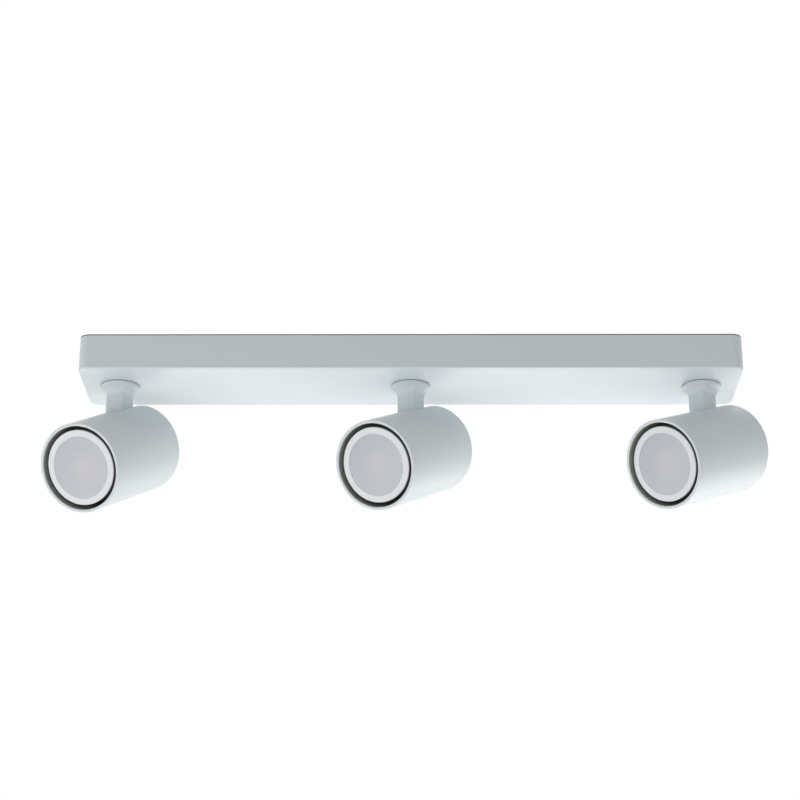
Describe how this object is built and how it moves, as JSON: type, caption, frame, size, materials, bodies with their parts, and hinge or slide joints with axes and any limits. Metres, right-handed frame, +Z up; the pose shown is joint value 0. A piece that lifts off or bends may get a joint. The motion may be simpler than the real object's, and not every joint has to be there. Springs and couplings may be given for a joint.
{
  "type": "track lighting fixture",
  "caption": "Ceiling bar with spot heads: each tube swivels on a square stem, tilts on a hidden pivot in its rear slot, and holds a twist-lock reflector lamp.",
  "frame": {"origin": "middle of the mounting bracket's face that meets the ceiling", "axes": "+Z up towards the ceiling, X along the bar, -Y towards the side that the heads face"},
  "size_m": [0.489, 0.0999, 0.1243],
  "materials": {
    "white_paint": "satin powder coat",
    "dark_cast_metal": "matt dark coat on die-cast alloy",
    "zinc_steel": "zinc plated",
    "brass_metal": "plain",
    "nickel_brass": "nickel plated",
    "ceramic": "unglazed ceramic",
    "lamp_white": "satin moulded",
    "frosted_lens": "frosted",
    "clear_nylon": "natural nylon",
    "black_rubber": "matt",
    "brown_insulation": "plain",
    "blue_insulation": "plain",
    "earth_insulation": "green and yellow"
  },
  "bodies": {
    "root": {"bar_housing": "white_paint", "stop_pins": "zinc_steel", "mounting_bracket": "zinc_steel", "end_screws": "zinc_steel", "cable_grommet": "black_rubber", "earth_screw": "brass_metal", "terminal_block": "clear_nylon", "terminal_screws": "zinc_steel", "live_leads": "brown_insulation", "neutral_leads": "blue_insulation", "earth_lead": "earth_insulation"},
    "stem_left": {"stem_left": "white_paint", "swivel_washer_left": "clear_nylon", "stop_washer_left": "zinc_steel", "spring_washer_left": "zinc_steel", "stem_nut_left": "zinc_steel", "pivot_screws_left": "zinc_steel", "tilt_washers_left": "clear_nylon"},
    "head_left": {"tube_left": "white_paint", "carrier_left": "dark_cast_metal", "carrier_screws_left": "zinc_steel", "lampholder_left": "ceramic", "holder_screws_left": "zinc_steel"},
    "lamp_left": {"lamp_ring_left": "lamp_white", "lamp_diffuser_left": "frosted_lens", "lamp_body_left": "lamp_white", "lamp_pins_left": "nickel_brass"},
    "stem_middle": {"stem_middle": "white_paint", "swivel_washer_middle": "clear_nylon", "stop_washer_middle": "zinc_steel", "spring_washer_middle": "zinc_steel", "stem_nut_middle": "zinc_steel", "pivot_screws_middle": "zinc_steel", "tilt_washers_middle": "clear_nylon"},
    "head_middle": {"tube_middle": "white_paint", "carrier_middle": "dark_cast_metal", "carrier_screws_middle": "zinc_steel", "lampholder_middle": "ceramic", "holder_screws_middle": "zinc_steel"},
    "lamp_middle": {"lamp_ring_middle": "lamp_white", "lamp_diffuser_middle": "frosted_lens", "lamp_body_middle": "lamp_white", "lamp_pins_middle": "nickel_brass"},
    "stem_right": {"stem_right": "white_paint", "swivel_washer_right": "clear_nylon", "stop_washer_right": "zinc_steel", "spring_washer_right": "zinc_steel", "stem_nut_right": "zinc_steel", "pivot_screws_right": "zinc_steel", "tilt_washers_right": "clear_nylon"},
    "head_right": {"tube_right": "white_paint", "carrier_right": "dark_cast_metal", "carrier_screws_right": "zinc_steel", "lampholder_right": "ceramic", "holder_screws_right": "zinc_steel"},
    "lamp_right": {"lamp_ring_right": "lamp_white", "lamp_diffuser_right": "frosted_lens", "lamp_body_right": "lamp_white", "lamp_pins_right": "nickel_brass"}
  },
  "joints": [
    {"name": "pan_left", "type": "hinge", "parent": "root", "child": "stem_left", "pos_m": [-0.2, 0, -0.025], "axis": [0, 0, 1], "range_deg": [-138, 192]},
    {"name": "tilt_left", "type": "hinge", "parent": "stem_left", "child": "head_left", "pos_m": [-0.2, 0, -0.0585], "axis": [0.891, -0.454, 0], "range_deg": [-29, 61]},
    {"name": "lamp_twist_left", "type": "hinge", "parent": "head_left", "child": "lamp_left", "pos_m": [-0.1967, 0.00648, -0.07162], "axis": [-0.3971, -0.7793, -0.4848], "range_deg": [0, 20]},
    {"name": "pan_middle", "type": "hinge", "parent": "root", "child": "stem_middle", "pos_m": [0, 0, -0.025], "axis": [0, 0, 1], "range_deg": [-131, 199]},
    {"name": "tilt_middle", "type": "hinge", "parent": "stem_middle", "child": "head_middle", "pos_m": [0, 0, -0.0585], "axis": [0.829, -0.5592, 0], "range_deg": [-26, 64]},
    {"name": "lamp_twist_middle", "type": "hinge", "parent": "head_middle", "child": "lamp_middle", "pos_m": [0.00368, 0.00545, -0.07198], "axis": [-0.5026, -0.7451, -0.4384], "range_deg": [0, 20]},
    {"name": "pan_right", "type": "hinge", "parent": "root", "child": "stem_right", "pos_m": [0.2, 0, -0.025], "axis": [0, 0, 1], "range_deg": [-117.3, 212.7]},
    {"name": "tilt_right", "type": "hinge", "parent": "stem_right", "child": "head_right", "pos_m": [0.2, 0, -0.0585], "axis": [0.673, -0.7396, 0], "range_deg": [-22.7, 67.3]},
    {"name": "lamp_twist_right", "type": "hinge", "parent": "head_right", "child": "lamp_right", "pos_m": [0.20428, 0.0039, -0.07234], "axis": [-0.6823, -0.6209, -0.3859], "range_deg": [0, 20]}
  ]
}
